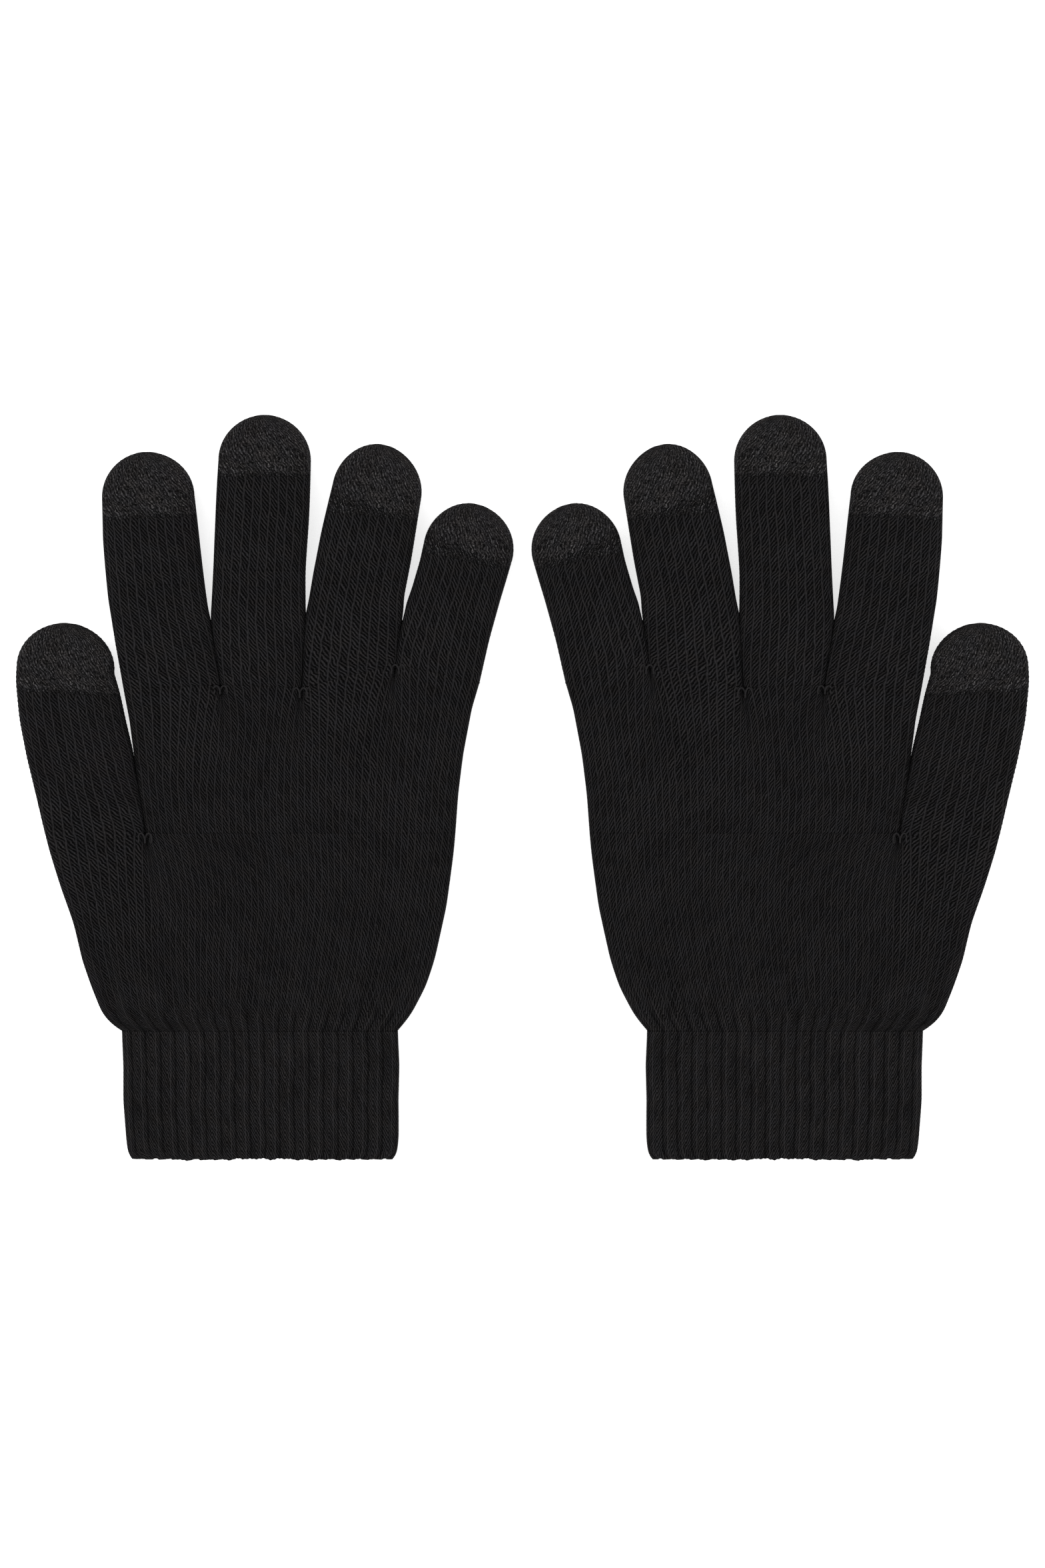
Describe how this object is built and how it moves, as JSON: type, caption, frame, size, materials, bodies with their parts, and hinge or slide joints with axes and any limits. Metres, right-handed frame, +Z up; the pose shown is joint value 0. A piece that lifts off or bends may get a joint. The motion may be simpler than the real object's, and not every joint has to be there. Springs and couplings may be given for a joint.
{
  "type": "touchscreen gloves",
  "caption": "Pair of stretch-knit gloves with fine-ribbed wrist cuffs and contrasting conductive-yarn tips on every finger and thumb, lying flat.",
  "frame": {"origin": "under the middle of the pair's bounding box, on the surface that the gloves lie on", "axes": "+Z up out of the palm sides, +Y from the cuffs towards the fingertips, +X from the left-hand glove to the right-hand glove"},
  "size_m": [0.2914, 0.215, 0.012],
  "materials": {
    "body_yarn": "matt knitted acrylic, near black",
    "rib_yarn": "matt ribbed knit, near black",
    "tip_yarn": "heathered dark grey conductive knit with a faint glint",
    "closing_yarn": "matt yarn, near black",
    "elastic_thread": "covered elastic, near black"
  },
  "bodies": {
    "left_palm": {"left_hand": "body_yarn", "left_thumb_closing_stitch": "closing_yarn", "left_index_closing_stitch": "closing_yarn", "left_middle_closing_stitch": "closing_yarn", "left_ring_closing_stitch": "closing_yarn"},
    "left_cuff_rib": {"left_cuff": "rib_yarn", "left_cuff_hem": "rib_yarn", "left_cuff_elastic": "elastic_thread"},
    "left_thumb_sleeve": {"left_thumb_sleeve": "body_yarn"},
    "left_thumb_tip": {"left_thumb_tip": "tip_yarn"},
    "left_index_lower_sleeve": {"left_index_lower_sleeve": "body_yarn"},
    "left_index_upper_sleeve": {"left_index_upper_sleeve": "body_yarn"},
    "left_index_tip": {"left_index_tip": "tip_yarn"},
    "left_middle_lower_sleeve": {"left_middle_lower_sleeve": "body_yarn"},
    "left_middle_upper_sleeve": {"left_middle_upper_sleeve": "body_yarn"},
    "left_middle_tip": {"left_middle_tip": "tip_yarn"},
    "left_ring_lower_sleeve": {"left_ring_lower_sleeve": "body_yarn"},
    "left_ring_upper_sleeve": {"left_ring_upper_sleeve": "body_yarn"},
    "left_ring_tip": {"left_ring_tip": "tip_yarn"},
    "left_little_lower_sleeve": {"left_little_lower_sleeve": "body_yarn"},
    "left_little_upper_sleeve": {"left_little_upper_sleeve": "body_yarn"},
    "left_little_tip": {"left_little_tip": "tip_yarn"},
    "right_palm": {"right_hand": "body_yarn", "right_thumb_closing_stitch": "closing_yarn", "right_index_closing_stitch": "closing_yarn", "right_middle_closing_stitch": "closing_yarn", "right_ring_closing_stitch": "closing_yarn"},
    "right_cuff_rib": {"right_cuff": "rib_yarn", "right_cuff_hem": "rib_yarn", "right_cuff_elastic": "elastic_thread"},
    "right_thumb_sleeve": {"right_thumb_sleeve": "body_yarn"},
    "right_thumb_tip": {"right_thumb_tip": "tip_yarn"},
    "right_index_lower_sleeve": {"right_index_lower_sleeve": "body_yarn"},
    "right_index_upper_sleeve": {"right_index_upper_sleeve": "body_yarn"},
    "right_index_tip": {"right_index_tip": "tip_yarn"},
    "right_middle_lower_sleeve": {"right_middle_lower_sleeve": "body_yarn"},
    "right_middle_upper_sleeve": {"right_middle_upper_sleeve": "body_yarn"},
    "right_middle_tip": {"right_middle_tip": "tip_yarn"},
    "right_ring_lower_sleeve": {"right_ring_lower_sleeve": "body_yarn"},
    "right_ring_upper_sleeve": {"right_ring_upper_sleeve": "body_yarn"},
    "right_ring_tip": {"right_ring_tip": "tip_yarn"},
    "right_little_lower_sleeve": {"right_little_lower_sleeve": "body_yarn"},
    "right_little_upper_sleeve": {"right_little_upper_sleeve": "body_yarn"},
    "right_little_tip": {"right_little_tip": "tip_yarn"}
  },
  "joints": [
    {"name": "left_wrist_fold", "type": "hinge", "parent": "left_palm", "child": "left_cuff_rib", "pos_m": [-0.0754, -0.0698, 0.012], "axis": [-1, 0, 0], "range_deg": [0, 60]},
    {"name": "left_thumb_root_fold", "type": "hinge", "parent": "left_palm", "child": "left_thumb_sleeve", "pos_m": [-0.12318, -0.01141, 0.011], "axis": [0.866, 0.5, 0], "range_deg": [0, 70]},
    {"name": "left_thumb_tip_fold", "type": "hinge", "parent": "left_thumb_sleeve", "child": "left_thumb_tip", "pos_m": [-0.13046, 0.02792, 0.011], "axis": [0.9962, 0.0872, 0], "range_deg": [0, 60]},
    {"name": "left_index_root_fold", "type": "hinge", "parent": "left_palm", "child": "left_index_lower_sleeve", "pos_m": [-0.10488, 0.05343, 0.011], "axis": [0.999, 0.0436, 0], "range_deg": [0, 75]},
    {"name": "left_index_middle_fold", "type": "hinge", "parent": "left_index_lower_sleeve", "child": "left_index_upper_sleeve", "pos_m": [-0.10582, 0.0654, 0.011], "axis": [0.999, 0.0436, 0], "range_deg": [0, 85]},
    {"name": "left_index_tip_fold", "type": "hinge", "parent": "left_index_upper_sleeve", "child": "left_index_tip", "pos_m": [-0.10676, 0.07736, 0.011], "axis": [0.999, 0.0436, 0], "range_deg": [0, 42.5]},
    {"name": "left_middle_root_fold", "type": "hinge", "parent": "left_palm", "child": "left_middle_lower_sleeve", "pos_m": [-0.07653, 0.05438, 0.011], "axis": [0.9997, -0.0262, 0], "range_deg": [0, 75]},
    {"name": "left_middle_middle_fold", "type": "hinge", "parent": "left_middle_lower_sleeve", "child": "left_middle_upper_sleeve", "pos_m": [-0.0756, 0.07185, 0.011], "axis": [0.9997, -0.0262, 0], "range_deg": [0, 85]},
    {"name": "left_middle_tip_fold", "type": "hinge", "parent": "left_middle_upper_sleeve", "child": "left_middle_tip", "pos_m": [-0.07467, 0.08933, 0.011], "axis": [0.9997, -0.0262, 0], "range_deg": [0, 42.5]},
    {"name": "left_ring_root_fold", "type": "hinge", "parent": "left_palm", "child": "left_ring_lower_sleeve", "pos_m": [-0.04922, 0.05226, 0.011], "axis": [0.9945, -0.1045, 0], "range_deg": [0, 75]},
    {"name": "left_ring_middle_fold", "type": "hinge", "parent": "left_ring_lower_sleeve", "child": "left_ring_upper_sleeve", "pos_m": [-0.04675, 0.06705, 0.011], "axis": [0.9945, -0.1045, 0], "range_deg": [0, 85]},
    {"name": "left_ring_tip_fold", "type": "hinge", "parent": "left_ring_upper_sleeve", "child": "left_ring_tip", "pos_m": [-0.04427, 0.08185, 0.011], "axis": [0.9945, -0.1045, 0], "range_deg": [0, 42.5]},
    {"name": "left_little_root_fold", "type": "hinge", "parent": "left_palm", "child": "left_little_lower_sleeve", "pos_m": [-0.02277, 0.04328, 0.011], "axis": [0.9903, -0.1392, 0], "range_deg": [0, 75]},
    {"name": "left_little_middle_fold", "type": "hinge", "parent": "left_little_lower_sleeve", "child": "left_little_upper_sleeve", "pos_m": [-0.01989, 0.05596, 0.011], "axis": [0.9903, -0.1392, 0], "range_deg": [0, 85]},
    {"name": "left_little_tip_fold", "type": "hinge", "parent": "left_little_upper_sleeve", "child": "left_little_tip", "pos_m": [-0.01701, 0.06864, 0.011], "axis": [0.9903, -0.1392, 0], "range_deg": [0, 42.5]},
    {"name": "right_glove_apart", "type": "slide", "parent": "left_palm", "child": "right_palm", "axis": [1, 0, 0], "range_m": [0, 0.1]},
    {"name": "right_wrist_fold", "type": "hinge", "parent": "right_palm", "child": "right_cuff_rib", "pos_m": [0.0754, -0.0698, 0.012], "axis": [-1, 0, 0], "range_deg": [0, 60]},
    {"name": "right_thumb_root_fold", "type": "hinge", "parent": "right_palm", "child": "right_thumb_sleeve", "pos_m": [0.12318, -0.01141, 0.011], "axis": [0.866, -0.5, 0], "range_deg": [0, 70]},
    {"name": "right_thumb_tip_fold", "type": "hinge", "parent": "right_thumb_sleeve", "child": "right_thumb_tip", "pos_m": [0.13046, 0.02792, 0.011], "axis": [0.9962, -0.0872, 0], "range_deg": [0, 60]},
    {"name": "right_index_root_fold", "type": "hinge", "parent": "right_palm", "child": "right_index_lower_sleeve", "pos_m": [0.10488, 0.05343, 0.011], "axis": [0.999, -0.0436, 0], "range_deg": [0, 75]},
    {"name": "right_index_middle_fold", "type": "hinge", "parent": "right_index_lower_sleeve", "child": "right_index_upper_sleeve", "pos_m": [0.10582, 0.0654, 0.011], "axis": [0.999, -0.0436, 0], "range_deg": [0, 85]},
    {"name": "right_index_tip_fold", "type": "hinge", "parent": "right_index_upper_sleeve", "child": "right_index_tip", "pos_m": [0.10676, 0.07736, 0.011], "axis": [0.999, -0.0436, 0], "range_deg": [0, 42.5]},
    {"name": "right_middle_root_fold", "type": "hinge", "parent": "right_palm", "child": "right_middle_lower_sleeve", "pos_m": [0.07653, 0.05438, 0.011], "axis": [0.9997, 0.0262, 0], "range_deg": [0, 75]},
    {"name": "right_middle_middle_fold", "type": "hinge", "parent": "right_middle_lower_sleeve", "child": "right_middle_upper_sleeve", "pos_m": [0.0756, 0.07185, 0.011], "axis": [0.9997, 0.0262, 0], "range_deg": [0, 85]},
    {"name": "right_middle_tip_fold", "type": "hinge", "parent": "right_middle_upper_sleeve", "child": "right_middle_tip", "pos_m": [0.07467, 0.08933, 0.011], "axis": [0.9997, 0.0262, 0], "range_deg": [0, 42.5]},
    {"name": "right_ring_root_fold", "type": "hinge", "parent": "right_palm", "child": "right_ring_lower_sleeve", "pos_m": [0.04922, 0.05226, 0.011], "axis": [0.9945, 0.1045, 0], "range_deg": [0, 75]},
    {"name": "right_ring_middle_fold", "type": "hinge", "parent": "right_ring_lower_sleeve", "child": "right_ring_upper_sleeve", "pos_m": [0.04675, 0.06705, 0.011], "axis": [0.9945, 0.1045, 0], "range_deg": [0, 85]},
    {"name": "right_ring_tip_fold", "type": "hinge", "parent": "right_ring_upper_sleeve", "child": "right_ring_tip", "pos_m": [0.04427, 0.08185, 0.011], "axis": [0.9945, 0.1045, 0], "range_deg": [0, 42.5]},
    {"name": "right_little_root_fold", "type": "hinge", "parent": "right_palm", "child": "right_little_lower_sleeve", "pos_m": [0.02277, 0.04328, 0.011], "axis": [0.9903, 0.1392, 0], "range_deg": [0, 75]},
    {"name": "right_little_middle_fold", "type": "hinge", "parent": "right_little_lower_sleeve", "child": "right_little_upper_sleeve", "pos_m": [0.01989, 0.05596, 0.011], "axis": [0.9903, 0.1392, 0], "range_deg": [0, 85]},
    {"name": "right_little_tip_fold", "type": "hinge", "parent": "right_little_upper_sleeve", "child": "right_little_tip", "pos_m": [0.01701, 0.06864, 0.011], "axis": [0.9903, 0.1392, 0], "range_deg": [0, 42.5]}
  ],
  "couplings": [
    {"joint": "left_index_tip_fold", "follows": "left_index_middle_fold", "ratio": 0.5},
    {"joint": "left_middle_tip_fold", "follows": "left_middle_middle_fold", "ratio": 0.5},
    {"joint": "left_ring_tip_fold", "follows": "left_ring_middle_fold", "ratio": 0.5},
    {"joint": "left_little_tip_fold", "follows": "left_little_middle_fold", "ratio": 0.5},
    {"joint": "right_index_tip_fold", "follows": "right_index_middle_fold", "ratio": 0.5},
    {"joint": "right_middle_tip_fold", "follows": "right_middle_middle_fold", "ratio": 0.5},
    {"joint": "right_ring_tip_fold", "follows": "right_ring_middle_fold", "ratio": 0.5},
    {"joint": "right_little_tip_fold", "follows": "right_little_middle_fold", "ratio": 0.5}
  ]
}
